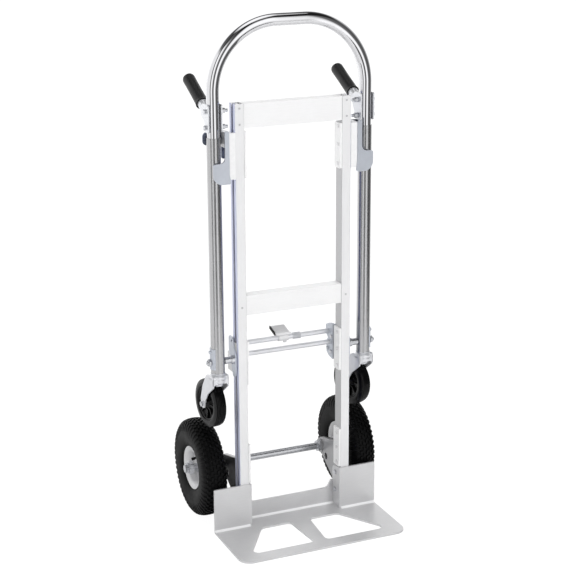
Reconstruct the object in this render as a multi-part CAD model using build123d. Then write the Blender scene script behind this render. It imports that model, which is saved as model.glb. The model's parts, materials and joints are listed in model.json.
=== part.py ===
from build123d import *
import os
from math import cos, radians, sin

# Convertible hand truck, standing upright as a two-wheel hand truck. Millimetres.
# X is across the truck (+X right, seen from the front), +Y runs back to the wheels, +Z is up.
# The part is modelled with Y = 0 on the front face of the nose plate's upright wings and
# Z = 0 on the ground, then moved so that the origin is under the middle of its bounding box.

# ---- driving dimensions ----
PLATE_HALF_WIDTH = 228.6
PLATE_REACH = 192.0
PLATE_THICK = 5.0
WING_HEIGHT = 121.0

RAIL_INNER = 130.6
RAIL_WIDTH = 24.0
RAIL_FRONT = 5.0
RAIL_REAR = 41.0
RAIL_WALL = 2.5
RAIL_BOTTOM = 8.0
RAIL_TOP = 1109.2
CHANNEL_Y = 23.0
CHANNEL_MOUTH = 12.0
CHANNEL_WIDTH = 20.0
CHANNEL_DEPTH = 8.6
CHANNEL_LIP = 3.0

TUBE_X = 202.7
TUBE_Y = 25.0
TUBE_RADIUS = 17.5
LOOP_RADIUS = 15.875
TUBE_BORE = 15.95
TUBE_BOTTOM = 432.0
TUBE_TOP = 1030.0
LOOP_TOP = 1319.0
LOOP_BEND = 165.0
LOOP_WALL = 2.0

PIVOT_Z = 459.5
PIVOT_BOLT_RADIUS = 6.0
LOBE_TOP = 968.8
SLIDE_TRAVEL = LOBE_TOP + TUBE_RADIUS + 0.5 - PIVOT_Z

AXLE_Y = 145.0
WHEEL_RADIUS = 130.0
WHEEL_X = 212.5
TYRE_HALF_WIDTH = 34.0
AXLE_RADIUS = 9.5

ROD_RADIUS = 6.5
RELEASE_Y = 73.0
RELEASE_Z = 482.0
TIE_Y = 60.5
TIE_Z = 456.2

CASTER_TRAIL = 45.0
CASTER_AXLE_Z = 336.0
CASTER_RADIUS = 63.5
CASTER_HALF_WIDTH = 16.0
CASTER_TURNS = {"right": 12.0, "left": 6.0}

GRIP_ANGLE = 26.4
GRIP_START = (76.0, 1093.0)
GRIP_RUBBER_START = 22.0
GRIP_END_DISTANCE = 134.0

RUNNING = 0.05
GAP = 0.4

RAIL_OUTER = RAIL_INNER + RAIL_WIDTH
MIDDLE_Y = (AXLE_Y + WHEEL_RADIUS - PLATE_REACH) / 2

nodes = {}


# ---- helpers ----
def block(x0, x1, y0, y1, z0, z1):
    centre = Pos((x0 + x1) / 2, (y0 + y1) / 2, (z0 + z1) / 2)
    return centre * Box(x1 - x0, y1 - y0, z1 - z0)


def bar_x(x0, x1, y, z, radius):
    return Pos((x0 + x1) / 2, y, z) * Rot(0, 90, 0) * Cylinder(radius, x1 - x0)


def bar_y(x, y0, y1, z, radius):
    return Pos(x, (y0 + y1) / 2, z) * Rot(90, 0, 0) * Cylinder(radius, y1 - y0)


def bar_z(x, y, z0, z1, radius):
    return Pos(x, y, (z0 + z1) / 2) * Cylinder(radius, z1 - z0)


def ring_x(x0, x1, y, z, outer, inner):
    return bar_x(x0, x1, y, z, outer) - bar_x(x0 - 1, x1 + 1, y, z, inner)


def hex_x(x0, x1, y, z, across):
    head = extrude(RegularPolygon(across / 2, 6, major_radius=False), amount=x1 - x0)
    return Pos(x0, y, z) * Rot(0, 90, 0) * head


def slab(axis, low, high, corners, radii=0):
    """A flat plate between two values on one axis, with its outline in the other two axes."""
    place = {
        "X": lambda a, b: (low, a, b),
        "Y": lambda a, b: (a, low, b),
        "Z": lambda a, b: (a, b, low),
    }[axis]
    along = {"X": (1, 0, 0), "Y": (0, 1, 0), "Z": (0, 0, 1)}[axis]
    outline = FilletPolyline(*[place(a, b) for a, b in corners], radius=radii, close=True)
    return extrude(make_face(outline), amount=high - low, dir=along)


def spun(profile, x, y, z):
    """A ring spun round the X axis line through a point, from (x offset, radius) corners."""
    face = make_face(Polyline(*[(a, r, 0) for a, r in profile], close=True))
    return Pos(x, y, z) * revolve(face, axis=Axis.X)


def mirrored(shape):
    return mirror(shape, about=Plane.YZ)


def both_sides(shapes):
    shapes = list(shapes)
    return shapes + [mirrored(s) for s in shapes]


def add(name, shapes):
    nodes[name] = list(shapes) if isinstance(shapes, (list, tuple)) else [shapes]


def add_pair(name, shape):
    """The right-hand piece is as given, and the left-hand piece is its mirror image."""
    add(name + "_right", shape)
    add(name + "_left", mirrored(shape))


def bore_out(names, cutters):
    """Cut the holes that fasteners or shafts need, at exactly the cutters' size."""
    for name in names:
        pieces = []
        for piece in nodes[name]:
            for cutter in cutters:
                piece = piece - cutter
            pieces += piece.solids()
        nodes[name] = pieces


# ---- nose plate ----
GUSSET_OUTER = RAIL_INNER
GUSSET_INNER = GUSSET_OUTER - PLATE_THICK
GUSSET_REACH = 46.0
FLANGE_HEIGHT = 52.0
FLANGE_EAR_HEIGHT = 72.0
FLANGE_EAR_WIDTH = 16.0
HOLE_BACK_Y = -22.0
HOLE_FRONT_Y = -153.0


def nose_plate():
    floor = slab(
        "Z", 0, PLATE_THICK,
        [
            (-PLATE_HALF_WIDTH, -PLATE_REACH), (PLATE_HALF_WIDTH, -PLATE_REACH),
            (PLATE_HALF_WIDTH, PLATE_THICK), (GUSSET_OUTER, PLATE_THICK),
            (GUSSET_OUTER, GUSSET_REACH), (-GUSSET_OUTER, GUSSET_REACH),
            (-GUSSET_OUTER, PLATE_THICK), (-PLATE_HALF_WIDTH, PLATE_THICK),
        ],
        [30, 30, 0, 0, 0, 0, 0, 0],
    )
    wing = slab(
        "Y", 0, PLATE_THICK,
        [
            (GUSSET_INNER, 0), (PLATE_HALF_WIDTH, 0),
            (PLATE_HALF_WIDTH, WING_HEIGHT), (GUSSET_INNER, WING_HEIGHT),
        ],
        [0, 0, 3, 0],
    )
    gusset = slab(
        "X", GUSSET_INNER, GUSSET_OUTER,
        [(0, 0), (GUSSET_REACH, 0), (GUSSET_REACH, WING_HEIGHT - 6), (0, WING_HEIGHT)],
        [0, 0, 16, 0],
    )
    ear_inner = GUSSET_OUTER - FLANGE_EAR_WIDTH
    flange = slab(
        "Y", RAIL_REAR, GUSSET_REACH,
        [
            (-GUSSET_OUTER, 0), (GUSSET_OUTER, 0), (GUSSET_OUTER, FLANGE_EAR_HEIGHT),
            (ear_inner + 4, FLANGE_EAR_HEIGHT), (ear_inner - 6, FLANGE_HEIGHT),
            (-ear_inner + 6, FLANGE_HEIGHT), (-ear_inner - 4, FLANGE_EAR_HEIGHT),
            (-GUSSET_OUTER, FLANGE_EAR_HEIGHT),
        ],
        [0, 0, 0, 4, 14, 14, 4, 0],
    )
    plate = floor + wing + mirrored(wing) + gusset + mirrored(gusset) + flange
    opening = slab(
        "Z", -1, PLATE_THICK + 1,
        [(27, HOLE_BACK_Y), (108, HOLE_BACK_Y), (190, HOLE_FRONT_Y), (16, HOLE_FRONT_Y)],
        [12, 20, 14, 12],
    )
    plate = plate - opening - mirrored(opening)
    heels = [
        e for e in plate.edges().filter_by(Axis.X)
        if abs(e.center().Y - PLATE_THICK) < 0.01 and abs(e.center().Z) < 0.01
    ]
    return fillet(heels, PLATE_THICK - 0.5)


# ---- main frame ----
CROSSBAR_FRONT = 7.0
CROSSBAR_REAR = 39.0
CROSSBAR_GROOVES = (0.2, 0.8)
CROSSBARS = {"crossbar_top": (1049.3, 1109.0), "crossbar_middle": (576.6, 627.4)}
LATCH_NOTCH = (492.0, 514.0)
PAD_THICK = 5.0
PAD_HEIGHTS = ((927.0, 1042.0), (393.0, 507.0), (122.0, 229.0))


def rail():
    low, high = RAIL_BOTTOM, RAIL_TOP
    body = block(RAIL_INNER, RAIL_OUTER, RAIL_FRONT, RAIL_REAR, low, high)
    body = fillet(body.edges().filter_by(Axis.Z), 1.5)
    channel_floor = RAIL_OUTER - CHANNEL_DEPTH
    hollow = block(
        RAIL_INNER + RAIL_WALL, channel_floor - 2.9,
        RAIL_FRONT + RAIL_WALL, RAIL_REAR - RAIL_WALL, low - 1, high + 1,
    )
    slot = block(
        channel_floor, RAIL_OUTER - CHANNEL_LIP,
        CHANNEL_Y - CHANNEL_WIDTH / 2, CHANNEL_Y + CHANNEL_WIDTH / 2, low - 1, high + 1,
    )
    mouth = block(
        RAIL_OUTER - CHANNEL_LIP - 1, RAIL_OUTER + 1,
        CHANNEL_Y - CHANNEL_MOUTH / 2, CHANNEL_Y + CHANNEL_MOUTH / 2, low - 1, high + 1,
    )
    body = body - hollow - slot - mouth
    for rise in (0, SLIDE_TRAVEL):
        body = body - block(
            RAIL_INNER + 1.4, RAIL_INNER + 8.9, RAIL_REAR - RAIL_WALL - 0.5, RAIL_REAR + 1,
            LATCH_NOTCH[0] + rise, LATCH_NOTCH[1] + rise,
        )
    return body


def channel_strip():
    floor = RAIL_OUTER - CHANNEL_DEPTH
    half = CHANNEL_WIDTH / 2 - 0.2
    return block(floor, floor + 1.2, CHANNEL_Y - half, CHANNEL_Y + half, RAIL_BOTTOM + 2, RAIL_TOP - 2)


def crossbar(low, high):
    wall = 3.0
    bar = block(-RAIL_INNER, RAIL_INNER, CROSSBAR_FRONT, CROSSBAR_REAR, low, high)
    bar = bar - block(
        -RAIL_INNER - 1, RAIL_INNER + 1, CROSSBAR_FRONT + wall, CROSSBAR_REAR - wall,
        low + wall, high - wall,
    )
    for share in CROSSBAR_GROOVES:
        middle = low + share * (high - low)
        bar = bar - block(
            -RAIL_INNER - 1, RAIL_INNER + 1, CROSSBAR_FRONT - 1, CROSSBAR_FRONT + 0.4,
            middle - 0.8, middle + 0.8,
        )
    return bar


def rail_pad(low, high):
    corners = [(RAIL_FRONT, low), (RAIL_REAR - 2, low), (RAIL_REAR - 2, high), (RAIL_FRONT, high)]
    return slab("X", RAIL_INNER - PAD_THICK, RAIL_INNER, corners, 3)


def cap_screw_y(x, z, head_front, head_radius, shank_end):
    head = bar_y(x, head_front, head_front + 1.6, z, head_radius)
    return head + bar_y(x, head_front + 1.6, shank_end, z, head_radius * 0.55)


def pad_bolt(z):
    inner = RAIL_INNER - PAD_THICK
    return bar_x(inner - 2.5, inner, 19, z, 4.5) + bar_x(inner, RAIL_INNER + 6, 19, z, 3)


# ---- hooks that hold the folded or upright tube ----
HOOK_LOW = 917.0
HOOK_TOP = 1041.0
HOOK_PLATE_FRONT = -1.0
HOOK_PLATE_REAR = 3.5
HOOK_BAR_REAR = 12.5
KEEPER_LOW = 1008.0
KEEPER_FRONT = 44.0
KEEPER_REAR = 48.5


def hook_block():
    bar = block(RAIL_OUTER, 176, HOOK_PLATE_REAR, HOOK_BAR_REAR, 927, HOOK_TOP)
    arm = block(162, 176, HOOK_BAR_REAR, KEEPER_FRONT, 1003, HOOK_TOP)
    return bar + arm


def hook_plate():
    return slab(
        "Y", HOOK_PLATE_FRONT, HOOK_PLATE_REAR,
        [
            (168, HOOK_LOW), (214, HOOK_LOW), (214, LOBE_TOP), (183, LOBE_TOP),
            (183, HOOK_TOP + 6), (172, HOOK_TOP + 6), (172, HOOK_LOW + 24),
        ],
        [5, 24, 6, 14, 3, 3, 8],
    )


def keeper_plate():
    across = slab(
        "Y", KEEPER_FRONT, KEEPER_REAR,
        [(162, KEEPER_LOW), (223, KEEPER_LOW), (223, HOOK_TOP), (162, HOOK_TOP)],
        [0, 10, 12, 4],
    )
    down = slab(
        "Y", KEEPER_FRONT, KEEPER_REAR,
        [(163, KEEPER_LOW - 36), (175, KEEPER_LOW - 36), (175, KEEPER_LOW + 9), (163, KEEPER_LOW + 9)],
        [4, 4, 0, 0],
    )
    return across + down


def hook_bolt(z):
    return hex_x(176, 179.5, 8.5, z, 8) + bar_x(147, 176, 8.5, z, 2.5)


# ---- axle and its brackets ----
BRACKET_INNER = 134.0
BRACKET_OUTER = 152.0


def axle_bracket():
    arm = slab(
        "X", BRACKET_INNER + 2, BRACKET_OUTER - 2,
        [
            (RAIL_REAR, 64), (RAIL_REAR, 176), (58, 176), (AXLE_Y + 6, WHEEL_RADIUS + 22),
            (AXLE_Y + 22, WHEEL_RADIUS - 6), (AXLE_Y - 14, WHEEL_RADIUS - 24), (62, 64),
        ],
        [0, 0, 8, 18, 18, 10, 8],
    )
    foot = block(RAIL_INNER + 2, RAIL_OUTER - 2, RAIL_REAR, RAIL_REAR + 6, 62, 180)
    boss = bar_x(BRACKET_INNER, BRACKET_OUTER, AXLE_Y, WHEEL_RADIUS, 19)
    web_hole = bar_x(BRACKET_INNER - 5, BRACKET_OUTER + 5, 108, 112, 9)
    return arm + foot + boss - web_hole


def axle_nut(x):
    return hex_x(x, x + 9, AXLE_Y, WHEEL_RADIUS, 28)


HUB_HALF = 34.0
AXLE_END = WHEEL_X + HUB_HALF + 10


# ---- running wheels ----
RIM_PROFILE = [
    (-24.5, 57), (-22, 57), (-20, 50), (-7, 42), (7, 42), (20, 50), (22, 57), (24.5, 57),
    (22.5, 46.5), (9, 38.5), (-9, 38.5), (-22.5, 46.5),
]
TYRE_PROFILE = [
    (-19.6, 51.2), (-21.7, 57.6), (-27.5, 63), (-32.5, 80), (-TYRE_HALF_WIDTH, 94), (-32.9, 108),
    (-30, 118), (-23.5, 126.3), (-12.2, 129.2), (0, WHEEL_RADIUS), (12.2, 129.2), (23.5, 126.3),
    (30, 118), (32.9, 108), (TYRE_HALF_WIDTH, 94), (32.5, 80), (27.5, 63), (21.7, 57.6),
    (19.6, 51.2), (15.5, 48.3), (15.5, 60), (23, 72), (27, 92), (24.5, 110), (17, 119), (0, 122),
    (-17, 119), (-24.5, 110), (-27, 92), (-23, 72), (-15.5, 60), (-15.5, 48.3),
]
BEARING_RADIUS = 17.5
INNER_TUBE_RING = 86.0
INNER_TUBE_RADIUS = 22.0
INNER_TUBE_WALL = 2.5


def rim():
    shell = spun(RIM_PROFILE, WHEEL_X, AXLE_Y, WHEEL_RADIUS)
    web = ring_x(WHEEL_X - 1.5, WHEEL_X + 1.5, AXLE_Y, WHEEL_RADIUS, 39.5, 20)
    hub = ring_x(WHEEL_X - 31, WHEEL_X + 31, AXLE_Y, WHEEL_RADIUS, 21, BEARING_RADIUS)
    wheel = shell + web + hub
    for i in range(4):
        turn = radians(45 + 90 * i)
        wheel = wheel - bar_x(
            WHEEL_X - 5, WHEEL_X + 5, AXLE_Y + 30 * cos(turn), WHEEL_RADIUS + 30 * sin(turn), 4,
        )
    return wheel


def tyre():
    return spun(TYRE_PROFILE, WHEEL_X, AXLE_Y, WHEEL_RADIUS)


def inner_tube():
    def ring(radius):
        face = Pos(0, INNER_TUBE_RING, 0) * Circle(radius)
        return Pos(WHEEL_X, AXLE_Y, WHEEL_RADIUS) * revolve(face, axis=Axis.X)

    return ring(INNER_TUBE_RADIUS) - ring(INNER_TUBE_RADIUS - INNER_TUBE_WALL)


def wheel_bearings():
    rings = []
    for low in (WHEEL_X - HUB_HALF, WHEEL_X + HUB_HALF - 14):
        rings.append(
            ring_x(low, low + 14, AXLE_Y, WHEEL_RADIUS, BEARING_RADIUS, AXLE_RADIUS + RUNNING)
        )
    return rings


# ---- slide carriage ----
OUTER_PLATE = (156.0, 160.0)
INNER_PLATE = (124.0, 128.0)
PLATE_FRONT = 13.5
BEHIND_RAIL = RAIL_REAR + 0.5
SHOE_Z = (418.0, 503.0)


def slide_shoe():
    floor = RAIL_OUTER - CHANNEL_DEPTH + 1.2
    head = block(
        floor + GAP, RAIL_OUTER - CHANNEL_LIP - GAP,
        CHANNEL_Y - CHANNEL_WIDTH / 2 + GAP, CHANNEL_Y + CHANNEL_WIDTH / 2 - GAP, *SHOE_Z,
    )
    neck = block(
        RAIL_OUTER - CHANNEL_LIP - GAP, OUTER_PLATE[0],
        CHANNEL_Y - CHANNEL_MOUTH / 2 + GAP, CHANNEL_Y + CHANNEL_MOUTH / 2 - GAP, *SHOE_Z,
    )
    return head + neck


def outer_slide_plate():
    plate = slab(
        "X", *OUTER_PLATE,
        [
            (PLATE_FRONT, 424), (18, 413), (31, 413), (40, 440), (58, 478), (58, 515),
            (29, 515), (24, 492), (PLATE_FRONT, 474),
        ],
        [4, 4, 6, 10, 10, 8, 6, 10, 6],
    )
    return plate - bar_x(150, 165, 38, 505, 3.5)


def inner_slide_plate():
    return slab(
        "X", *INNER_PLATE,
        [
            (42.5, 412), (66, 416), (80.5, 424), (80.5, 455), (71, 464), (84.5, 474), (84.5, 498),
            (60, 508), (42.5, 511),
        ],
        [3, 10, 6, 3, 3, 5, 8, 6, 3],
    )


def slide_block():
    low = block(INNER_PLATE[1], OUTER_PLATE[0], BEHIND_RAIL, 76, 418, 466)
    high = block(140, OUTER_PLATE[0], BEHIND_RAIL, 57, 466, 508)
    return low + high


def slide_bolt(y, z):
    return hex_x(INNER_PLATE[0] - 4, INNER_PLATE[0], y, z, 9) + bar_x(INNER_PLATE[0], 150, y, z, 3)


def pivot_bush():
    sleeve = bar_x(OUTER_PLATE[1], TUBE_X - TUBE_RADIUS - 0.3, TUBE_Y, PIVOT_Z, 9)
    collar = bar_x(OUTER_PLATE[1], OUTER_PLATE[1] + 8, TUBE_Y, PIVOT_Z, 11.2)
    return sleeve + collar


SADDLE_RADIUS = 20.0


def pivot_bolt():
    nut_face = TUBE_X + SADDLE_RADIUS + 0.3
    shank = bar_x(RAIL_OUTER + GAP, nut_face, TUBE_Y, PIVOT_Z, PIVOT_BOLT_RADIUS)
    nut = hex_x(nut_face, nut_face + 5, TUBE_Y, PIVOT_Z, 17)
    dome = Pos(nut_face + 4, TUBE_Y, PIVOT_Z) * Sphere(7.5)
    return shank + nut + (dome - block(0, nut_face + 4, 0, 60, 400, 500))


# ---- foot release ----
PEDAL_X = (-24.0, 16.0)


def pedal():
    tread = slab(
        "X", *PEDAL_X,
        [(66, 490), (74, 487.5), (114, 498), (113, 503), (74, 493.5), (67, 496)],
        [1, 3, 2, 2, 3, 1],
    )
    boss = bar_x(PEDAL_X[0] + 6, PEDAL_X[1] - 6, RELEASE_Y, RELEASE_Z, 9)
    tab = slab(
        "X", -2, 6,
        [(70, 476), (76, 476), (77.5, 467), (72.5, 467)],
        1.5,
    )
    return tread + boss + tab


def latch_dog():
    arm = slab(
        "X", 133, 138,
        [
            (RAIL_REAR + 0.6, 496), (52, 490), (66, 476), (79, 476), (80, 489), (56, 505),
            (RAIL_REAR + 0.6, 506),
        ],
        [1, 6, 4, 5, 6, 6, 1],
    )
    return arm + bar_x(128.5, 138, RELEASE_Y, RELEASE_Z, 9.5)


# ---- handle frame ----
GRIP_STEP_Y = cos(radians(GRIP_ANGLE))
GRIP_STEP_Z = sin(radians(GRIP_ANGLE))
GRIP_TUBE_RADIUS = 13.0
GRIP_RADIUS = 16.0
CLAMP_LOW = 1043.0
CLAMP_HIGH = 1111.0
CLAMP_FRONT = 10.0
GRIP_BOLT_HEIGHTS = (1055.0, 1094.0)


def along_grip(start, end, radius):
    """A round bar on the grip's centre line, between two distances from its lower end."""
    middle = (start + end) / 2
    y = GRIP_START[0] + middle * GRIP_STEP_Y
    z = GRIP_START[1] + middle * GRIP_STEP_Z
    return Pos(TUBE_X, y, z) * Rot(GRIP_ANGLE - 90, 0, 0) * Cylinder(radius, end - start)


def lower_tube():
    return bar_z(TUBE_X, TUBE_Y, TUBE_BOTTOM, TUBE_TOP, TUBE_RADIUS) - bar_z(
        TUBE_X, TUBE_Y, TUBE_BOTTOM - 1, TUBE_TOP + 1, TUBE_BORE,
    )


def loop_handle():
    top = LOOP_TOP - LOOP_RADIUS
    path = FilletPolyline(
        (-TUBE_X, TUBE_Y, TUBE_TOP - 70), (-TUBE_X, TUBE_Y, top),
        (TUBE_X, TUBE_Y, top), (TUBE_X, TUBE_Y, TUBE_TOP - 70),
        radius=LOOP_BEND,
    )
    section = Plane(origin=(-TUBE_X, TUBE_Y, TUBE_TOP - 70), z_dir=(0, 0, 1))
    outer = sweep(section * Circle(LOOP_RADIUS), path=path)
    inner = sweep(section * Circle(LOOP_RADIUS - LOOP_WALL), path=path)
    return outer - inner


def grip_bracket():
    side = TUBE_X + LOOP_RADIUS + 0.05
    outer_cheek = slab(
        "X", side, side + 3,
        [
            (CLAMP_FRONT, CLAMP_LOW), (33, CLAMP_LOW), (33, 1066), (58, 1080), (58, 1102),
            (46, CLAMP_HIGH), (CLAMP_FRONT, CLAMP_HIGH),
        ],
        [5, 6, 10, 8, 5, 8, 5],
    )
    inner_cheek = slab(
        "X", 2 * TUBE_X - side - 3, 2 * TUBE_X - side,
        [
            (CLAMP_FRONT, CLAMP_LOW), (42, CLAMP_LOW), (46, 1060), (58, 1078), (58, 1102),
            (46, CLAMP_HIGH), (CLAMP_FRONT, CLAMP_HIGH),
        ],
        [5, 8, 10, 8, 5, 8, 5],
    )
    web_front = TUBE_Y + LOOP_RADIUS + 0.05
    web = block(2 * TUBE_X - side, side, web_front, web_front + 3, 1064, CLAMP_HIGH - 5)
    stub = along_grip(-40, GRIP_END_DISTANCE - 6, GRIP_TUBE_RADIUS)
    keep_back = block(150, 250, web_front, 260, 1000, 1250)
    return outer_cheek + inner_cheek + web + (stub & keep_back)


def rubber_grip():
    sleeve = along_grip(GRIP_RUBBER_START, GRIP_END_DISTANCE, GRIP_RADIUS)
    rounded = fillet(sleeve.edges().sort_by(Axis.Y)[-1], 6)
    lip = along_grip(GRIP_RUBBER_START, GRIP_RUBBER_START + 4, GRIP_RADIUS + 1)
    bore = along_grip(GRIP_RUBBER_START - 1, GRIP_END_DISTANCE - 6, GRIP_TUBE_RADIUS)
    return rounded + lip - bore


def grip_bolt(z):
    """The head is on the outer side; the shank runs on past the nut on the inner side."""
    reach = LOOP_RADIUS + 3.05
    shank = bar_x(TUBE_X - reach - 18, TUBE_X + reach, TUBE_Y, z, 4)
    head = hex_x(TUBE_X + reach, TUBE_X + reach + 6, TUBE_Y, z, 10)
    nut = hex_x(TUBE_X - reach - 11, TUBE_X - reach, TUBE_Y, z, 11)
    return shank + head + nut


def tube_saddle():
    shell = bar_z(TUBE_X, TUBE_Y, 442, 496, SADDLE_RADIUS) - bar_z(
        TUBE_X, TUBE_Y, 441, 497, TUBE_RADIUS,
    )
    patch = shell & block(TUBE_X + 11, TUBE_X + 25, TUBE_Y - 14, TUBE_Y + 14, 430, 510)
    rivet = bar_x(TUBE_X + SADDLE_RADIUS - 1.5, TUBE_X + SADDLE_RADIUS + 3, TUBE_Y, 487, 4)
    return patch + rivet


# ---- casters ----
STEM_RADIUS = 9.5
CROWN_RADIUS = 19.8
CROWN_TOP = TUBE_BOTTOM - 4.6
CROWN_LOW = TUBE_BOTTOM - 30.0
LEG_INNER = 19.0
LEG_OUTER = 23.0
LEG_FRONT = 9.5
CASTER_AXLE_RADIUS = 5.0
CASTER_Y = TUBE_Y + CASTER_TRAIL


def caster_stem():
    plug = bar_z(TUBE_X, TUBE_Y, TUBE_BOTTOM, TUBE_BOTTOM + 20, TUBE_BORE - 0.02)
    flange = bar_z(TUBE_X, TUBE_Y, CROWN_TOP + 0.6, TUBE_BOTTOM, 18.5)
    pin = bar_z(TUBE_X, TUBE_Y, CROWN_LOW - 1, CROWN_TOP + 0.6, STEM_RADIUS)
    foot = bar_z(TUBE_X, TUBE_Y, CROWN_LOW - 5, CROWN_LOW - 0.8, 12.5)
    return plug + flange + pin + foot


def caster_leg(x0, x1):
    top = CROWN_TOP - 1.4
    leg = slab(
        "X", x0, x1,
        [
            (LEG_FRONT, top), (44, top), (62, 396), (84, CASTER_AXLE_Z + 4),
            (80, CASTER_AXLE_Z - 13), (60, CASTER_AXLE_Z - 13), (50, CASTER_AXLE_Z + 22),
            (26, 390), (LEG_FRONT, 402),
        ],
        [3, 10, 20, 10, 10, 10, 30, 20, 5],
    )
    return Pos(TUBE_X, 0, 0) * leg


def caster_fork():
    crown = bar_z(TUBE_X, TUBE_Y, CROWN_LOW, CROWN_TOP, CROWN_RADIUS)
    bridge = block(
        TUBE_X - LEG_OUTER, TUBE_X + LEG_OUTER, LEG_FRONT, 42, CROWN_TOP - 7.4, CROWN_TOP - 1.4,
    )
    legs = caster_leg(-LEG_OUTER, -LEG_INNER) + caster_leg(LEG_INNER, LEG_OUTER)
    fork = crown + bridge + legs
    return fork - bar_z(TUBE_X, TUBE_Y, CROWN_LOW - 6, CROWN_TOP + 6, STEM_RADIUS + RUNNING)


def caster_axle():
    pin = bar_x(TUBE_X - 24, TUBE_X + 24, CASTER_Y, CASTER_AXLE_Z, CASTER_AXLE_RADIUS)
    head = hex_x(TUBE_X - 28, TUBE_X - LEG_OUTER, CASTER_Y, CASTER_AXLE_Z, 15)
    nut = hex_x(TUBE_X + LEG_OUTER, TUBE_X + 28, CASTER_Y, CASTER_AXLE_Z, 15)
    return pin + head + nut


CORE_RADIUS = 46.0


def caster_core():
    bore = CASTER_AXLE_RADIUS + RUNNING
    profile = [
        (-18, bore), (18, bore), (18, 12), (13, 15), (6, 20), (6, 36), (12, 40),
        (12, CORE_RADIUS), (-12, CORE_RADIUS), (-12, 40), (-6, 36), (-6, 20), (-13, 15), (-18, 12),
    ]
    return spun(profile, TUBE_X, CASTER_Y, CASTER_AXLE_Z)


def caster_tread():
    half = CASTER_HALF_WIDTH
    profile = [
        (-12, CORE_RADIUS), (12, CORE_RADIUS), (13, 43), (half, 45), (half, 54), (half - 2, 59.5),
        (half - 6, 62.6), (0, CASTER_RADIUS), (6 - half, 62.6), (2 - half, 59.5), (-half, 54),
        (-half, 45), (-13, 43),
    ]
    return spun(profile, TUBE_X, CASTER_Y, CASTER_AXLE_Z)


def turned_caster(shape, side):
    """Both casters are left standing some degrees off straight, turned the same way."""
    x = TUBE_X if side == "right" else -TUBE_X
    turn = Rot(0, 0, CASTER_TURNS[side])
    return Pos(x, TUBE_Y, 0) * turn * Pos(-x, -TUBE_Y, 0) * shape


# ---- assembly: main frame ----
add("nose_plate", nose_plate())
add_pair("rail", rail())
add("channel_strips", both_sides([channel_strip()]))
for bar_name, (bar_low, bar_high) in CROSSBARS.items():
    add(bar_name, crossbar(bar_low, bar_high))
pads = [rail_pad(low, high) for low, high in PAD_HEIGHTS]
add("rail_pads_right", pads)
add("rail_pads_left", [mirrored(p) for p in pads])
add("hook_blocks", both_sides([hook_block()]))
add("hook_plates", both_sides([hook_plate()]))
add("keeper_plates", both_sides([keeper_plate()]))
add_pair("axle_bracket", axle_bracket())
add("axle", bar_x(-AXLE_END, AXLE_END, AXLE_Y, WHEEL_RADIUS, AXLE_RADIUS))

PAD_BOLT_HEIGHTS = (939, 988, 1033, 405, 450, 495, 134, 175, 217)
SCREW_HEIGHTS = (1099, 1059.5, 598.5)
GUSSET_BOLT_HEIGHTS = (100, 51)
RAIL_X = RAIL_INNER + RAIL_WIDTH / 2

pad_bolts = both_sides([pad_bolt(z) for z in PAD_BOLT_HEIGHTS])
frame_screws = both_sides([cap_screw_y(RAIL_X, z, RAIL_FRONT - 1.4, 2.6, 12) for z in SCREW_HEIGHTS])
nose_bolts = both_sides(
    [
        bar_x(GUSSET_INNER - 4, GUSSET_INNER, 26, z, 6.5) + bar_x(GUSSET_INNER, RAIL_INNER + 6, 26, z, 4)
        for z in GUSSET_BOLT_HEIGHTS
    ]
)
hook_bolts = both_sides([hook_bolt(z) for z in (964, 1022)])
axle_nuts = both_sides([axle_nut(BRACKET_INNER - 9)])
spacers = both_sides(
    [
        bar_x(BRACKET_OUTER, WHEEL_X - HUB_HALF - 0.5, AXLE_Y, WHEEL_RADIUS, 13),
        bar_x(WHEEL_X + HUB_HALF + 0.5, WHEEL_X + HUB_HALF + 3, AXLE_Y, WHEEL_RADIUS, 15),
    ]
)
cotter_pins = both_sides(
    [bar_z(WHEEL_X + HUB_HALF + 6, AXLE_Y, WHEEL_RADIUS - 14, WHEEL_RADIUS + 14, 1.6)]
)
add("pad_bolts", pad_bolts)
add("frame_screws", frame_screws)
add("nose_bolts", nose_bolts)
add("hook_bolts", hook_bolts)
add("axle_nuts", axle_nuts)
add("axle_spacers", spacers)
add("cotter_pins", cotter_pins)
bore_out(["axle_bracket_right", "axle_bracket_left", "axle_nuts", "axle_spacers"], nodes["axle"])
bore_out(["axle"], cotter_pins)
bore_out(["rail_right", "rail_left"], pad_bolts + frame_screws + nose_bolts + hook_bolts)
bore_out(["rail_pads_right", "rail_pads_left"], pad_bolts)
bore_out(["nose_plate"], nose_bolts)
bore_out(["hook_blocks"], hook_bolts)

# ---- assembly: running wheels ----
for piece_name, piece in (("rim", rim()), ("tyre", tyre()), ("inner_tube", inner_tube())):
    add_pair(piece_name, piece)
add("wheel_bearings_right", wheel_bearings())
add("wheel_bearings_left", [mirrored(b) for b in wheel_bearings()])

# ---- assembly: slide carriage ----
add("slide_shoes", both_sides([slide_shoe()]))
add("outer_slide_plates", both_sides([outer_slide_plate()]))
add("inner_slide_plates", both_sides([inner_slide_plate()]))
add("slide_blocks", both_sides([slide_block()]))
add("tie_rod", bar_x(-150, 150, TIE_Y, TIE_Z, ROD_RADIUS))
slide_bolts = both_sides([slide_bolt(50, 432), slide_bolt(47.5, 474), slide_bolt(71, 436)])
pivot_bolts = both_sides([pivot_bolt()])
add("slide_bolts", slide_bolts)
add("pivot_bolts", pivot_bolts)
add("pivot_bushes", both_sides([pivot_bush()]))
bore_out(["slide_shoes", "outer_slide_plates", "pivot_bushes"], pivot_bolts)
bore_out(["inner_slide_plates", "slide_blocks"], slide_bolts + nodes["tie_rod"])

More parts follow.
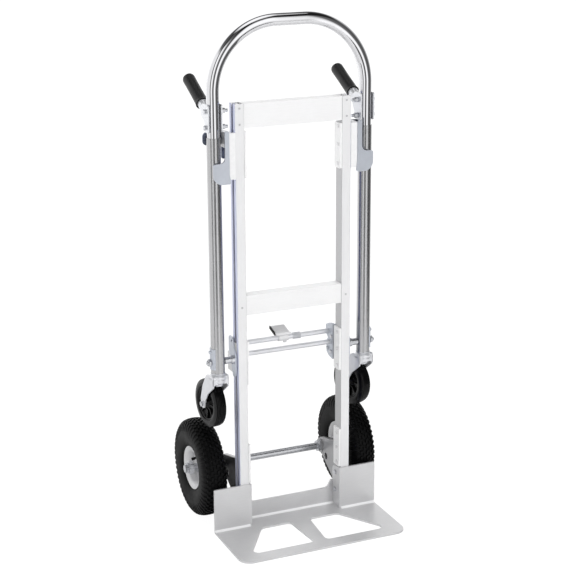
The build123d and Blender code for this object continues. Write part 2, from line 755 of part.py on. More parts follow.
# ---- assembly: foot release ----
add("release_rod", bar_x(-138, 138, RELEASE_Y, RELEASE_Z, ROD_RADIUS))
add("pedal", pedal())
add("latch_dogs", both_sides([latch_dog()]))
add("release_spring", ring_x(22, 46, RELEASE_Y, RELEASE_Z, 9.5, ROD_RADIUS + 0.6))
bore_out(["pedal", "latch_dogs"], nodes["release_rod"])
rod_clearance = [bar_x(-150, 150, RELEASE_Y, RELEASE_Z, ROD_RADIUS + RUNNING)]
bore_out(["inner_slide_plates"], rod_clearance)

# ---- assembly: handle frame ----
add_pair("lower_tube", lower_tube())
add("loop_handle", loop_handle())
add_pair("grip_bracket", grip_bracket())
add_pair("rubber_grip", rubber_grip())
add("tube_saddles", both_sides([tube_saddle()]))
add("caster_stems", both_sides([caster_stem()]))
grip_bolts = both_sides([grip_bolt(z) for z in GRIP_BOLT_HEIGHTS])
add("grip_bolts", grip_bolts)
bore_out(["loop_handle", "grip_bracket_right", "grip_bracket_left"], grip_bolts)
pivot_clearance = both_sides(
    [bar_x(150, 240, TUBE_Y, PIVOT_Z, PIVOT_BOLT_RADIUS + RUNNING)]
)
bore_out(["lower_tube_right", "lower_tube_left", "tube_saddles"], pivot_clearance)

# ---- assembly: casters ----
for piece_name, piece in (
    ("caster_fork", caster_fork() - caster_axle()),
    ("caster_axle", caster_axle()),
    ("caster_core", caster_core()),
    ("caster_tread", caster_tread()),
):
    add(piece_name + "_right", turned_caster(piece, "right"))
    add(piece_name + "_left", turned_caster(mirrored(piece), "left"))

# ---- export ----
os.makedirs("parts", exist_ok=True)
for node, shapes in nodes.items():
    solids = [Pos(0, -MIDDLE_Y, 0) * s for shape in shapes for s in shape.solids()]
    export_step(solids[0] if len(solids) == 1 else Compound(children=solids), f"parts/{node}.step")
print(len(nodes), "nodes; slide travel", round(SLIDE_TRAVEL, 2), "middle Y", round(MIDDLE_Y, 2))
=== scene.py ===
import json
import math
import bmesh
import bpy
from mathutils import Matrix, Vector


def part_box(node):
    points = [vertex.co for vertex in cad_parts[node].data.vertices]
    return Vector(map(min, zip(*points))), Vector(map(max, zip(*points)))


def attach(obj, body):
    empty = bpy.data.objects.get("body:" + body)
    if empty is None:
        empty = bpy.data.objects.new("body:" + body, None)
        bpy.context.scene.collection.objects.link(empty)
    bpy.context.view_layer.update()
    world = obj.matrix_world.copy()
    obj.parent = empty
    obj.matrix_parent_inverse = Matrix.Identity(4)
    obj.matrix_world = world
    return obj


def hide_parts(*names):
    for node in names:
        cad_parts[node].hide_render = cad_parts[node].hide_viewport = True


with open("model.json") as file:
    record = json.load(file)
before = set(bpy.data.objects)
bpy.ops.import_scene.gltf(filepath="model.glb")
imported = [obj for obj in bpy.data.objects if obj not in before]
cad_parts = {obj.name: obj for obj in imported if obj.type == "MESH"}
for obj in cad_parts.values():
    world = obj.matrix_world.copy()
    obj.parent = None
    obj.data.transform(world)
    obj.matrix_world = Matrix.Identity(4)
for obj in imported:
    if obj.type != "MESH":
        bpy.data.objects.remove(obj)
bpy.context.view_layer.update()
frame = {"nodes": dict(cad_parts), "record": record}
NODES = frame["nodes"]
MM = 0.001
# The nose plate's wings stand with their front faces this far in front of the frame's middle.
PLACE_SHIFT = 41.5 * MM
# How far inside a face the colour of that face begins.
FACE_MARGIN = 0.7 * MM

# Every length below is in metres, in the truck's own frame: X right, Y back, Z up.
SIDES = (("left", -1), ("right", 1))


def centre(node):
    low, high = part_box(node)
    return (Vector(low) + Vector(high)) / 2


# ---------------------------------------------------------------- materials
def new_material(name):
    made = bpy.data.materials.new(name)
    made.use_nodes = True
    shader = made.node_tree.nodes["Principled BSDF"]
    return made, made.node_tree, shader


def add_node(tree, kind, **values):
    node = tree.nodes.new(kind)
    for key, value in values.items():
        setattr(node, key, value)
    return node


def place_coords(tree, stretch=(1, 1, 1)):
    """Coordinates fixed to the metal, stretched to draw out grain along one axis."""
    coords = add_node(tree, "ShaderNodeTexCoord")
    mapping = add_node(tree, "ShaderNodeMapping")
    mapping.inputs["Scale"].default_value = stretch
    tree.links.new(coords.outputs["Object"], mapping.inputs["Vector"])
    return mapping.outputs["Vector"]


def noise(tree, where, scale, detail, rough):
    made = add_node(tree, "ShaderNodeTexNoise")
    made.inputs["Scale"].default_value = scale
    made.inputs["Detail"].default_value = detail
    made.inputs["Roughness"].default_value = rough
    tree.links.new(where, made.inputs["Vector"])
    return made.outputs["Fac"]


def ramp(tree, value, stops):
    made = add_node(tree, "ShaderNodeValToRGB")
    points = made.color_ramp.elements
    while len(points) < len(stops):
        points.new(0.5)
    for point, (place, colour) in zip(points, stops):
        point.position = place
        point.color = (*colour, 1)
    tree.links.new(value, made.inputs["Fac"])
    return made.outputs["Color"]


def grey_ramp(tree, value, low, high):
    return ramp(tree, value, [(0.3, (low,) * 3), (0.7, (high,) * 3)])


def bump(tree, shader, height, strength, distance):
    made = add_node(tree, "ShaderNodeBump")
    made.inputs["Strength"].default_value = strength
    made.inputs["Distance"].default_value = distance
    tree.links.new(height, made.inputs["Height"])
    tree.links.new(made.outputs["Normal"], shader.inputs["Normal"])


def blend_colours(tree, factor, first, second):
    mix = add_node(tree, "ShaderNodeMix", data_type="RGBA")
    for source, socket in ((first, mix.inputs[6]), (second, mix.inputs[7])):
        if isinstance(source, tuple):
            socket.default_value = (*source, 1)
        else:
            tree.links.new(source, socket)
    if isinstance(factor, float):
        mix.inputs[0].default_value = factor
    else:
        tree.links.new(factor, mix.inputs[0])
    return mix.outputs[2]


def object_axis(tree, axis):
    """One coordinate of a point in its piece's own frame, which is the truck's frame at rest."""
    coords = add_node(tree, "ShaderNodeTexCoord")
    split = add_node(tree, "ShaderNodeSeparateXYZ")
    tree.links.new(coords.outputs["Object"], split.inputs[0])
    return split.outputs[axis]


def beyond(tree, limit, operation="GREATER_THAN"):
    """1 further from the truck's middle plane than a limit, or nearer to it with LESS_THAN."""
    away = add_node(tree, "ShaderNodeMath", operation="ABSOLUTE")
    tree.links.new(object_axis(tree, "X"), away.inputs[0])
    test = add_node(tree, "ShaderNodeMath", operation=operation)
    test.inputs[1].default_value = limit
    tree.links.new(away.outputs[0], test.inputs[0])
    return test.outputs[0]


def overlay(made, factor, colour):
    """Lay a colour over a material's own colour, by a factor."""
    tree = made.node_tree
    base = tree.nodes["Principled BSDF"].inputs["Base Color"]
    under = base.links[0].from_socket
    tree.links.new(blend_colours(tree, factor, under, colour), base)


def metal(name, colour, rough, metallic, grain, grain_scale, spread, mottle, bump_depth=0.04 * MM):
    """A worked metal: drawn-out grain in its roughness, faint cloudy staining, and fine relief."""
    made, tree, shader = new_material(name)
    shader.inputs["Metallic"].default_value = metallic
    streaks = noise(tree, place_coords(tree, grain), grain_scale, 5.0, 0.65)
    clouds = noise(tree, place_coords(tree), 9.0, 3.0, 0.5)
    dark = tuple(c * (1 - mottle) for c in colour)
    light = tuple(min(1, c * (1 + mottle * 0.5)) for c in colour)
    cloudy = ramp(tree, clouds, [(0.35, dark), (0.65, light)])
    grained = ramp(tree, streaks, [(0.3, (0.93,) * 3), (0.7, (1.0,) * 3)])
    tint = add_node(tree, "ShaderNodeMix", data_type="RGBA", blend_type="MULTIPLY")
    tint.inputs[0].default_value = 1.0
    tree.links.new(cloudy, tint.inputs[6])
    tree.links.new(grained, tint.inputs[7])
    tree.links.new(tint.outputs[2], shader.inputs["Base Color"])
    tree.links.new(grey_ramp(tree, streaks, rough - spread / 2, rough + spread / 2),
                   shader.inputs["Roughness"])
    bump(tree, shader, streaks, 0.35, bump_depth)
    return made


def rubber(name, colour, rough, scale, depth, dust, spec):
    """Moulded black rubber: a fine pebble, and grey bloom that varies over the surface."""
    made, tree, shader = new_material(name)
    where = place_coords(tree)
    fine = noise(tree, where, scale, 3.0, 0.6)
    clouds = noise(tree, where, 22.0, 4.0, 0.6)
    bloom = tuple(c + dust for c in colour)
    tree.links.new(ramp(tree, clouds, [(0.35, colour), (0.75, bloom)]), shader.inputs["Base Color"])
    tree.links.new(grey_ramp(tree, clouds, rough - 0.08, rough + 0.1), shader.inputs["Roughness"])
    shader.inputs["Specular IOR Level"].default_value = spec
    bump(tree, shader, fine, 0.4, depth)
    return made


def rail_material():
    """Satin aluminium, tinted pale blue on the channel side, and greyer on the inner side as painted
    shade.
    """
    made = metal("rail_aluminium", (0.84, 0.84, 0.85), 0.42, 0.3, (40, 40, 1), 40, 0.1, 0.02)
    low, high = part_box("rail_right")
    overlay(made, beyond(made.node_tree, high[0] - FACE_MARGIN), (0.66, 0.69, 0.86))
    # Painted shade: the inner side is coloured greyer for the lesser light that falls on it.
    overlay(made, beyond(made.node_tree, low[0] + FACE_MARGIN, "LESS_THAN"), (0.50, 0.50, 0.51))
    return made


def bracket_material():
    """Cast axle bracket, with painted shade and a painted reflection of the black tyre on the side that
    faces its wheel.
    """
    made = metal("bracket_cast", (0.48, 0.48, 0.49), 0.34, 0.6, (3, 60, 60), 14, 0.1, 0.1)
    painted_shade_from = centre("axle_bracket_right").x + 3 * MM
    # Painted shade: near black on the side towards the wheel.
    overlay(made, beyond(made.node_tree, painted_shade_from), (0.012, 0.012, 0.013))
    return made


def blue_material():
    """Blue glide strip: clear blue high up, and darker, to navy, towards the ground."""
    blue = (0.08, 0.13, 0.50)
    navy = (0.02, 0.035, 0.19)
    made = metal("blue_strip", blue, 0.38, 0.0, (1, 1, 1), 60, 0.1, 0.15)
    tree = made.node_tree
    overlay(made, 0.85, ramp(tree, object_axis(tree, "Z"), [(0.3, navy), (0.85, blue)]))
    return made


# Each metal's colour, roughness, how metallic it is, its grain's stretch and scale, how far its
# roughness spreads and its colour mottles, and the depth of its relief where it isn't the usual one.
METALS = {
    "frame_aluminium": ((0.90, 0.90, 0.905), 0.42, 0.2, (1, 60, 60), 40, 0.1, 0.02),
    "cast_aluminium": ((0.71, 0.71, 0.72), 0.36, 0.5, (3, 60, 60), 14, 0.1, 0.05),
    "white_pad": ((0.90, 0.90, 0.905), 0.4, 0.15, (1, 1, 1), 120, 0.1, 0.03),
    "zinc_plate": ((0.56, 0.59, 0.65), 0.36, 0.6, (1, 1, 1), 90, 0.1, 0.08),
    "zinc_steel": ((0.66, 0.67, 0.70), 0.25, 0.95, (1, 40, 40), 30, 0.12, 0.08),
    "dark_steel": ((0.58, 0.58, 0.59), 0.4, 0.3, (1, 1, 1), 300, 0.1, 0.1),
    "painted_rim": ((0.70, 0.70, 0.71), 0.36, 0.35, (1, 1, 1), 260, 0.1, 0.08),
    "satin_tube": ((0.54, 0.54, 0.55), 0.24, 1.0, (60, 60, 1), 30, 0.08, 0.05),
    "chrome_tube": ((0.80, 0.80, 0.82), 0.06, 1.0, (1, 1, 1), 40, 0.02, 0.02, 0.0),
    "nylon": ((0.78, 0.77, 0.73), 0.45, 0.0, (1, 1, 1), 200, 0.1, 0.05),
    "bright_zinc": ((0.80, 0.81, 0.84), 0.3, 0.55, (1, 1, 1), 60, 0.04, 0.03, 0.0),
    # Painted highlight: brighter than the nose plate, for the bend lines in its folds.
    "fold_painted_highlight": ((0.93, 0.93, 0.94), 0.4, 0.1, (3, 60, 60), 14, 0.1, 0.03),
    "pale_zinc": ((0.80, 0.80, 0.81), 0.36, 0.4, (1, 1, 1), 300, 0.1, 0.06),
    # Painted shade: dark zinc for the keeper plates, which sit in shadow.
    "shaded_zinc": ((0.16, 0.18, 0.24), 0.3, 0.85, (1, 1, 1), 160, 0.16, 0.2),
}
# Each rubber's colour, roughness, its pebble's scale and depth, its bloom and its shine.
RUBBERS = {
    "tyre_rubber": ((0.002, 0.002, 0.0022), 0.5, 700, 0.0001, 0.002, 0.13),
    "grip_rubber": ((0.005, 0.005, 0.0055), 0.45, 1200, 0.0001, 0.004, 0.4),
    "caster_black": ((0.002, 0.002, 0.0022), 0.22, 600, 0.00002, 0.001, 0.2),
}
MATERIALS = {name: metal(name, *finish) for name, finish in METALS.items()}
MATERIALS.update((name, rubber(name, *finish)) for name, finish in RUBBERS.items())
MATERIALS["blue_strip"] = blue_material()
MATERIALS["bracket_cast"] = bracket_material()
MATERIALS["rail_aluminium"] = rail_material()
# Nodes dressed in a finish of their own rather than in their slot's usual one.
OWN_FINISH = {
    "pad_bolts": "pale_zinc", "keeper_plates": "shaded_zinc", "pedal": "pale_zinc",
    "grip_bracket_left": "bright_zinc", "grip_bracket_right": "bright_zinc",
    "tie_rod": "bright_zinc", "release_rod": "bright_zinc",
    "axle_bracket_left": "bracket_cast", "axle_bracket_right": "bracket_cast",
    "rail_left": "rail_aluminium", "rail_right": "rail_aluminium",
}
SLOT_OF = {part["node"]: part["material_slot"] for part in frame["record"]["subparts"]}


def dress_cad_nodes():
    for name, piece in NODES.items():
        piece.data.materials.clear()
        piece.data.materials.append(MATERIALS[OWN_FINISH.get(name, SLOT_OF[name])])


dress_cad_nodes()


# ---------------------------------------------------------------- mesh helpers
def vector_on(axis, low, a, b):
    """A point on a plane normal to an axis, from its two other coordinates in order."""
    return {"X": Vector((low, a, b)), "Y": Vector((a, low, b)), "Z": Vector((a, b, low))}[axis]


def rounded(corners, radii, steps=5):
    """An outline with its corners replaced by arcs of the given radii."""
    outline = []
    for i, radius in enumerate(radii):
        here = Vector(corners[i])
        before = Vector(corners[i - 1])
        after = Vector(corners[(i + 1) % len(corners)])
        back = (before - here).normalized()
        on = (after - here).normalized()
        half = back.angle(on) / 2
        reach = min(radius / math.tan(half), 0.49 * min((before - here).length, (after - here).length))
        radius = reach * math.tan(half)
        middle = here + (back + on).normalized() * (radius / math.sin(half))
        start = here + back * reach - middle
        end = here + on * reach - middle
        sweep = math.atan2(start.x * end.y - start.y * end.x, start.dot(end))
        first = math.atan2(start.y, start.x)
        for k in range(steps + 1):
            angle = first + sweep * k / steps
            outline.append(middle + radius * Vector((math.cos(angle), math.sin(angle))))
    return outline


def smooth_line(points, steps):
    """An open Catmull-Rom curve through two-dimensional points."""
    points = [Vector(p) for p in points]
    last = len(points) - 1
    made = []
    for i in range(last):
        a, b, c, d = (points[min(max(i + k, 0), last)] for k in (-1, 0, 1, 2))
        for k in range(steps):
            t = k / steps
            made.append(
                0.5 * (2 * b + (c - a) * t + (2 * a - 5 * b + 4 * c - d) * t * t
                       + (3 * b - a - 3 * c + d) * t * t * t)
            )
    made.append(points[-1])
    return made


def in_metres(points, way=1):
    """Corners drawn in millimetres, turned to metres, and mirrored on their first value by -1."""
    return [(way * a * MM, b * MM) for a, b in points]


def add_ring(bm, middle, side, other, radius, steps, turn=0.0):
    """A ring of vertices round a point, in the plane of two unit vectors."""
    ring = []
    for k in range(steps):
        angle = turn + 2 * math.pi * k / steps
        out = side * math.cos(angle) + other * math.sin(angle)
        ring.append(bm.verts.new(middle + out * radius))
    return ring


def add_rings(bm, origin, axis, profile, steps, turn=0.0):
    """Rings of vertices round an axis, one at each (distance along, radius) of a profile."""
    axis = Vector(axis).normalized()
    side = axis.orthogonal().normalized()
    other = axis.cross(side)
    origin = Vector(origin)
    return [
        add_ring(bm, origin + axis * along, side, other, radius, steps, turn)
        for along, radius in profile
    ]


def add_ring_faces(bm, rings, closed_profile):
    """Join rings into a surface, whose last ring meets its first where the profile is closed."""
    steps = len(rings[0])
    last = len(rings) if closed_profile else len(rings) - 1
    for i in range(last):
        one, two = rings[i], rings[(i + 1) % len(rings)]
        for k in range(steps):
            m = (k + 1) % steps
            bm.faces.new((one[k], one[m], two[m], two[k]))


def close_ends(bm, rings):
    bm.faces.new(rings[0])
    bm.faces.new(list(reversed(rings[-1])))


def add_lathe(bm, origin, axis, profile, steps):
    """A closed solid ring spun round an axis, from its (distance along, radius) corners."""
    add_ring_faces(bm, add_rings(bm, origin, axis, profile, steps), True)


def add_turned(bm, origin, axis, profile, steps):
    """A solid of revolution whose ends are closed by flat faces, from (distance, radius) corners."""
    rings = add_rings(bm, origin, axis, profile, steps)
    add_ring_faces(bm, rings, False)
    close_ends(bm, rings)


def add_prism(bm, axis, low, high, outline):
    """A flat plate between two values on an axis, from its outline in the other two."""
    bottom = [bm.verts.new(vector_on(axis, low, *p)) for p in outline]
    top = [bm.verts.new(vector_on(axis, high, *p)) for p in outline]
    count = len(outline)
    bm.faces.new(bottom)
    bm.faces.new(list(reversed(top)))
    for k in range(count):
        m = (k + 1) % count
        bm.faces.new((bottom[k], top[k], top[m], bottom[m]))


def add_tube(bm, path, radius, steps):
    """A round bar along a path of points, closed at both ends."""
    path = [Vector(p) for p in path]
    rings = []
    side = None
    for i, here in enumerate(path):
        ahead = path[min(i + 1, len(path) - 1)] - path[max(i - 1, 0)]
        ahead.normalize()
        side = ahead.orthogonal() if side is None else side - ahead * side.dot(ahead)
        side.normalize()
        rings.append(add_ring(bm, here, side, ahead.cross(side), radius, steps))
    add_ring_faces(bm, rings, False)
    close_ends(bm, rings)


def add_hex(bm, origin, axis, height, across, turn=0.0):
    """A hexagon head or nut with chamfered corners."""
    corner = across / math.sqrt(3)
    levels = ((0, corner * 0.985), (height * 0.15, corner), (height * 0.8, corner), (height, corner * 0.9))
    rings = add_rings(bm, origin, axis, levels, 6, turn)
    add_ring_faces(bm, rings, False)
    close_ends(bm, rings)


def make_piece(bm, name, material, body, hides=(), bevel=0.0, sharp=35.0):
    """Turn finished mesh work into a piece that rides on a body and stands for CAD nodes."""
    bmesh.ops.recalc_face_normals(bm, faces=bm.faces)
    mesh = bpy.data.meshes.new(name)
    bm.to_mesh(mesh)
    bm.free()
    mesh.polygons.foreach_set("use_smooth", [True] * len(mesh.polygons))
    mesh.set_sharp_from_angle(angle=math.radians(sharp))
    mesh.materials.append(material)
    piece = bpy.data.objects.new(name, mesh)
    bpy.context.scene.collection.objects.link(piece)
    if bevel:
        soften(piece, bevel)
    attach(piece, body)
    if hides:
        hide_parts(*hides)
    return piece


def soften(piece, width):
    rounding = piece.modifiers.new("edge rounding", "BEVEL")
    rounding.width = width
    rounding.segments = 2
    rounding.limit_method = "ANGLE"
    rounding.angle_limit = math.radians(40)
    rounding.harden_normals = False


# ---------------------------------------------------------------- running wheels
WHEEL_R = 130 * MM
TREAD_PITCHES = 52
# The rows of knobs on each half of the crown, in mm: distance across, width, length, height, then
# how far each knob is skewed, and how much of a pitch it is staggered by.
TREAD_ROWS = (
    (4.5, 7.4, 9.4, 4.2, 0.5, 0),
    (13.3, 7.1, 9.4, 4.3, -0.4, 0.5),
    (21.8, 7.4, 9.0, 4.8, 0.3, 0),
)
# The bare tyre's outer section, in mm: distance across, and radius.
CARCASS = [
    (-19, 51.5), (-21.4, 58), (-25, 61.5), (-29.4, 68), (-32.3, 80), (-33.3, 94), (-32.2, 107),
    (-28.8, 115.2), (-22.8, 121.2), (-12, 124.8), (0, 125.6), (12, 124.8), (22.8, 121.2), (28.8, 115.2),
    (32.2, 107), (33.3, 94), (32.3, 80), (29.4, 68), (25, 61.5), (21.4, 58), (19, 51.5),
]


def carcass_radius(across):
    """The bare tyre's radius at a distance from its middle, over the crown."""
    reach = abs(across) / MM
    over = [(p[0], p[1]) for p in CARCASS if p[1] > 100 and p[0] >= 0]
    for (x0, r0), (x1, r1) in zip(over, over[1:]):
        if x0 <= reach <= x1:
            return (r0 + (r1 - r0) * (reach - x0) / (x1 - x0)) * MM
    return over[-1][1] * MM


def add_block(bm, wheel, across, width, angle, length, skew, height):
    """One tread knob: a small tapered block that stands on the crown."""
    corners = []
    for rise, shrink in ((-1.6 * MM, 1.0), (height, 0.8)):
        for sx, sa in ((-1, -1), (1, -1), (1, 1), (-1, 1)):
            x = across + sx * width / 2 * shrink
            radius = carcass_radius(x) + rise
            turn = angle + (sa * length / 2 * shrink + skew * sx * width / 2) / WHEEL_R
            corners.append(bm.verts.new(
                wheel + Vector((x, radius * math.sin(turn), radius * math.cos(turn)))
            ))
    low, high = corners[:4], corners[4:]
    bm.faces.new(high)
    for k in range(4):
        m = (k + 1) % 4
        bm.faces.new((low[k], low[m], high[m], high[k]))
    bm.faces.new(list(reversed(low)))


def add_side_lug(bm, wheel, side, angle, length):
    """A lug that runs from the shoulder down the sidewall."""
    levels = ((25.4, 119.6, 4.6), (30.2, 114.2, 3.6), (33.1, 106.0, 1.6), (33.8, 98.0, 0.1))
    rings = []
    for x, radius, proud in levels:
        ring = []
        for out, sa in ((-1.2, -1), (proud, -0.75), (proud, 0.75), (-1.2, 1)):
            turn = angle + sa * length / 2 / WHEEL_R
            lean = min(1.0, (radius - 96) / 30)
            ring.append(bm.verts.new(wheel + Vector((
                side * (x + out * (1 - lean) * 0.5) * MM,
                (radius + out * lean) * MM * math.sin(turn),
                (radius + out * lean) * MM * math.cos(turn),
            ))))
        rings.append(ring)
    for one, two in zip(rings, rings[1:]):
        for k in range(3):
            bm.faces.new((one[k], one[k + 1], two[k + 1], two[k]))
        bm.faces.new((one[3], one[0], two[0], two[3]))
    bm.faces.new(rings[0])
    bm.faces.new(list(reversed(rings[-1])))


def make_tyre(side_name):
    """A pneumatic tyre, with two moulded rings on each sidewall and rows of knobs."""
    wheel = centre("tyre_" + side_name)
    bm = bmesh.new()
    outer = smooth_line(in_metres(CARCASS), 3)
    ribbed = []
    for x, r in outer:
        ring = 0.5 * MM * math.exp(-((r / MM - 64.5) / 1.0) ** 2)
        ring += 0.45 * MM * math.exp(-((r / MM - 97) / 1.2) ** 2)
        ribbed.append((x + math.copysign(ring, x), r))
    inner = [(x * 0.82, r - 5.5 * MM) for x, r in reversed(outer) if r > 60 * MM]
    add_lathe(bm, wheel, (1, 0, 0), ribbed + inner, 104)
    step = 2 * math.pi / TREAD_PITCHES
    for i in range(TREAD_PITCHES):
        for side in (-1, 1):
            angle = i * step + (0 if side > 0 else step / 2)
            for across, width, length, height, skew, stagger in TREAD_ROWS:
                add_block(bm, wheel, side * across * MM, width * MM, angle + stagger * step,
                          length * MM, skew * side, height * MM)
            add_side_lug(bm, wheel, side, angle + step / 2, 8.5 * MM)
    make_piece(bm, "knobbly_tyre_" + side_name, MATERIALS["tyre_rubber"],
               "wheel_" + side_name, ["tyre_" + side_name], sharp=30)


def make_rim(side_name, sign):
    """A pressed rim and its dish, with a hub tube that runs from the dish towards the truck."""
    wheel = centre("rim_" + side_name)
    bm = bmesh.new()
    half = [
        (25.0, 56.2), (25.3, 57.0), (24.7, 57.6), (23.3, 57.4), (22.4, 55.6), (20.4, 50.3),
        (16.4, 47.2), (8, 42), (0, 41.6),
    ]
    outer = half + [(-x, r) for x, r in reversed(half[:-1])]
    inside = [
        (-24.0, 54.6), (-22.0, 49), (-18.2, 45.8), (-8.6, 39.8), (0, 39.4), (8.6, 39.8), (18.2, 45.8),
        (22.0, 49), (24.0, 54.6),
    ]
    add_lathe(bm, wheel, (1, 0, 0), in_metres(outer + inside), 96)
    dish = [
        (3, 41), (2, 38), (-2, 35.5), (-3, 32), (-3, 26), (-2, 23), (-2, 20.5),
        (-5, 20.5), (-5, 24), (-6, 27), (-6, 33), (-5, 37), (-1, 41),
    ]
    add_lathe(bm, wheel, (1, 0, 0), in_metres(dish, sign), 80)
    hub = [
        (-31, 18), (-31, 20.6), (-30, 21.4), (-22, 21), (-6, 21), (0, 21.4), (1, 20.6), (1, 18),
        (0, 17.6), (-30, 17.6),
    ]
    add_lathe(bm, wheel, (1, 0, 0), in_metres(hub, sign), 56)
    make_piece(bm, "wheel_rim_" + side_name, MATERIALS["painted_rim"],
               "wheel_" + side_name, ["rim_" + side_name], sharp=32)


def make_rim_bolts(side_name, sign):
    """Four bolts through the dish, with a washer, a hexagon and a stud end on each face."""
    wheel = centre("rim_" + side_name)
    bm = bmesh.new()
    for i in range(4):
        turn = math.radians(45 + 90 * i)
        spot = wheel + Vector((0, 30 * MM * math.cos(turn), 30 * MM * math.sin(turn)))
        for way in (-1, 1):
            face = spot + Vector((sign * (-3 * MM if way == sign else -6 * MM), 0, 0))
            add_turned(bm, face, (way, 0, 0), in_metres([(0, 5.4), (1, 5.4)]), 20)
            add_hex(bm, face + Vector((way * 1 * MM, 0, 0)), (way, 0, 0), 3.6 * MM, 8 * MM, 0.3 * i)
            add_turned(bm, face + Vector((way * 4 * MM, 0, 0)), (way, 0, 0),
                       in_metres([(0, 2.2), (2.4, 2.2)]), 14)
    make_piece(bm, "rim_bolts_" + side_name, MATERIALS["zinc_steel"],
               "wheel_" + side_name, sharp=30)


def make_valve_stem(side_name, sign):
    """A rubber valve stem with its cap, leaning outwards near the top of the rim."""
    turn = math.radians(118)
    out = Vector((0, math.cos(turn), math.sin(turn)))
    foot = centre("rim_" + side_name) + out * 43 * MM + Vector((sign * 7 * MM, 0, 0))
    lean = (Vector((sign * 0.93, 0, 0)) - out * 0.36).normalized()
    stem = [(-3, 4.4), (0, 4.6), (3, 3.6), (15, 3.0), (15.5, 3.9), (23.5, 3.9), (24.5, 3.2)]
    bm = bmesh.new()
    add_turned(bm, foot, lean, in_metres(stem), 20)
    make_piece(bm, "valve_stem_" + side_name, MATERIALS["tyre_rubber"],
               "wheel_" + side_name, sharp=35)


def make_bearings(side_name):
    """The two bearings of a wheel, as far apart as the frame's own."""
    node = "wheel_bearings_" + side_name
    low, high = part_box(node)
    half = (high[0] - low[0]) / 2 / MM
    cup = [
        (0, 9.6), (0, 12.2), (-1, 12.6), (-1.2, 14.6), (0, 15), (0, 16.6), (-1, 17.4), (-11, 17.4),
        (-11, 9.6),
    ]
    bm = bmesh.new()
    for way in (-1, 1):
        face = in_metres([(half + a, r) for a, r in cup], way)
        add_lathe(bm, centre(node), (1, 0, 0), face, 48)
    make_piece(bm, "ball_bearings_" + side_name, MATERIALS["zinc_steel"],
               "wheel_" + side_name, [node], sharp=30)


# ---------------------------------------------------------------- casters
def caster_frame(side_name):
    """A caster's turn about its stem, how far its wheel trails, and how high its axle stands."""
    low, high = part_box("rubber_grip_" + side_name)
    pin = Vector(((low[0] + high[0]) / 2, centre("caster_stems").y, 0))
    wheel = centre("caster_tread_" + side_name)
    trail = Vector((wheel.x - pin.x, wheel.y - pin.y, 0))
    angle = math.atan2(-trail.x, trail.y)
    turned = Matrix.Translation(pin) @ Matrix.Rotation(angle, 4, "Z")
    return turned, trail.length, wheel.z


def make_caster(side_name):
    """A caster, drawn trailing straight back from its stem and then turned."""
    turned, trail, height = caster_frame(side_name)
    hub = Vector((0, trail, height))
    make_caster_tyre(side_name, turned, hub)
    make_caster_hub(side_name, turned, hub)
    make_caster_yoke(side_name, turned, hub)
    make_caster_bolt(side_name, turned, hub)


def make_caster_tyre(side_name, turned, hub):
    """A solid rubber tread, with grooves round its crown."""
    half = 16.0
    crown = 63.5
    grooves = 7
    edge = half - 2.6
    wall = [
        (12, 45.4), (13.4, 44), (half - 0.6, 45.2), (half, 47), (half - 0.3, 53), (half - 1.6, 57.6),
    ]
    line = [(-x, r) for x, r in wall]
    for i in range(grooves * 4 + 1):
        x = -edge + 2 * edge * i / (grooves * 4)
        fall = 3.4 * abs(x / half) ** 3.2
        dip = (0.0, 0.0, 1.5, 0.0)[i % 4]
        line.append((x, crown - fall - dip))
    line += reversed(wall)
    bm = bmesh.new()
    add_lathe(bm, hub, (1, 0, 0), in_metres(line), 88)
    bm.transform(turned)
    make_piece(bm, "caster_tyre_" + side_name, MATERIALS["caster_black"],
               "caster_wheel_" + side_name, ["caster_tread_" + side_name], sharp=28)


def add_hub_rib(bm, hub, way, angle):
    """One radial rib on a face of a caster's hub."""
    rib = [(16, 5.6), (39, 5.6), (39, 12.2), (20, 10.4), (14.5, 12.6)]
    radial = Vector((0, math.cos(angle), math.sin(angle)))
    sideways = Vector((0, -math.sin(angle), math.cos(angle))) * 1.5 * MM
    middle = [hub + radial * r * MM + Vector((way * x * MM, 0, 0)) for r, x in rib]
    one = [bm.verts.new(point - sideways) for point in middle]
    two = [bm.verts.new(point + sideways) for point in middle]
    bm.faces.new(one)
    bm.faces.new(list(reversed(two)))
    for k in range(len(rib)):
        m = (k + 1) % len(rib)
        bm.faces.new((one[k], one[m], two[m], two[k]))


def make_caster_hub(side_name, turned, hub):
    """The moulded core of a caster's wheel, ribbed on both faces."""
    face = [
        (17.6, 5.2), (17.6, 9), (16.6, 10), (13, 12.4), (7, 17.5), (5.4, 21), (5.4, 34),
        (8, 38.5), (13, 40.5), (13.4, 43), (12, 45.2),
    ]
    bm = bmesh.new()
    add_lathe(bm, hub, (1, 0, 0), in_metres([(-x, r) for x, r in face] + face[::-1]), 72)
    for i in range(8):
        for way in (-1, 1):
            add_hub_rib(bm, hub, way, math.pi * i / 4)
    bm.transform(turned)
    make_piece(bm, "caster_hub_" + side_name, MATERIALS["caster_black"],
               "caster_wheel_" + side_name, ["caster_core_" + side_name], sharp=32)


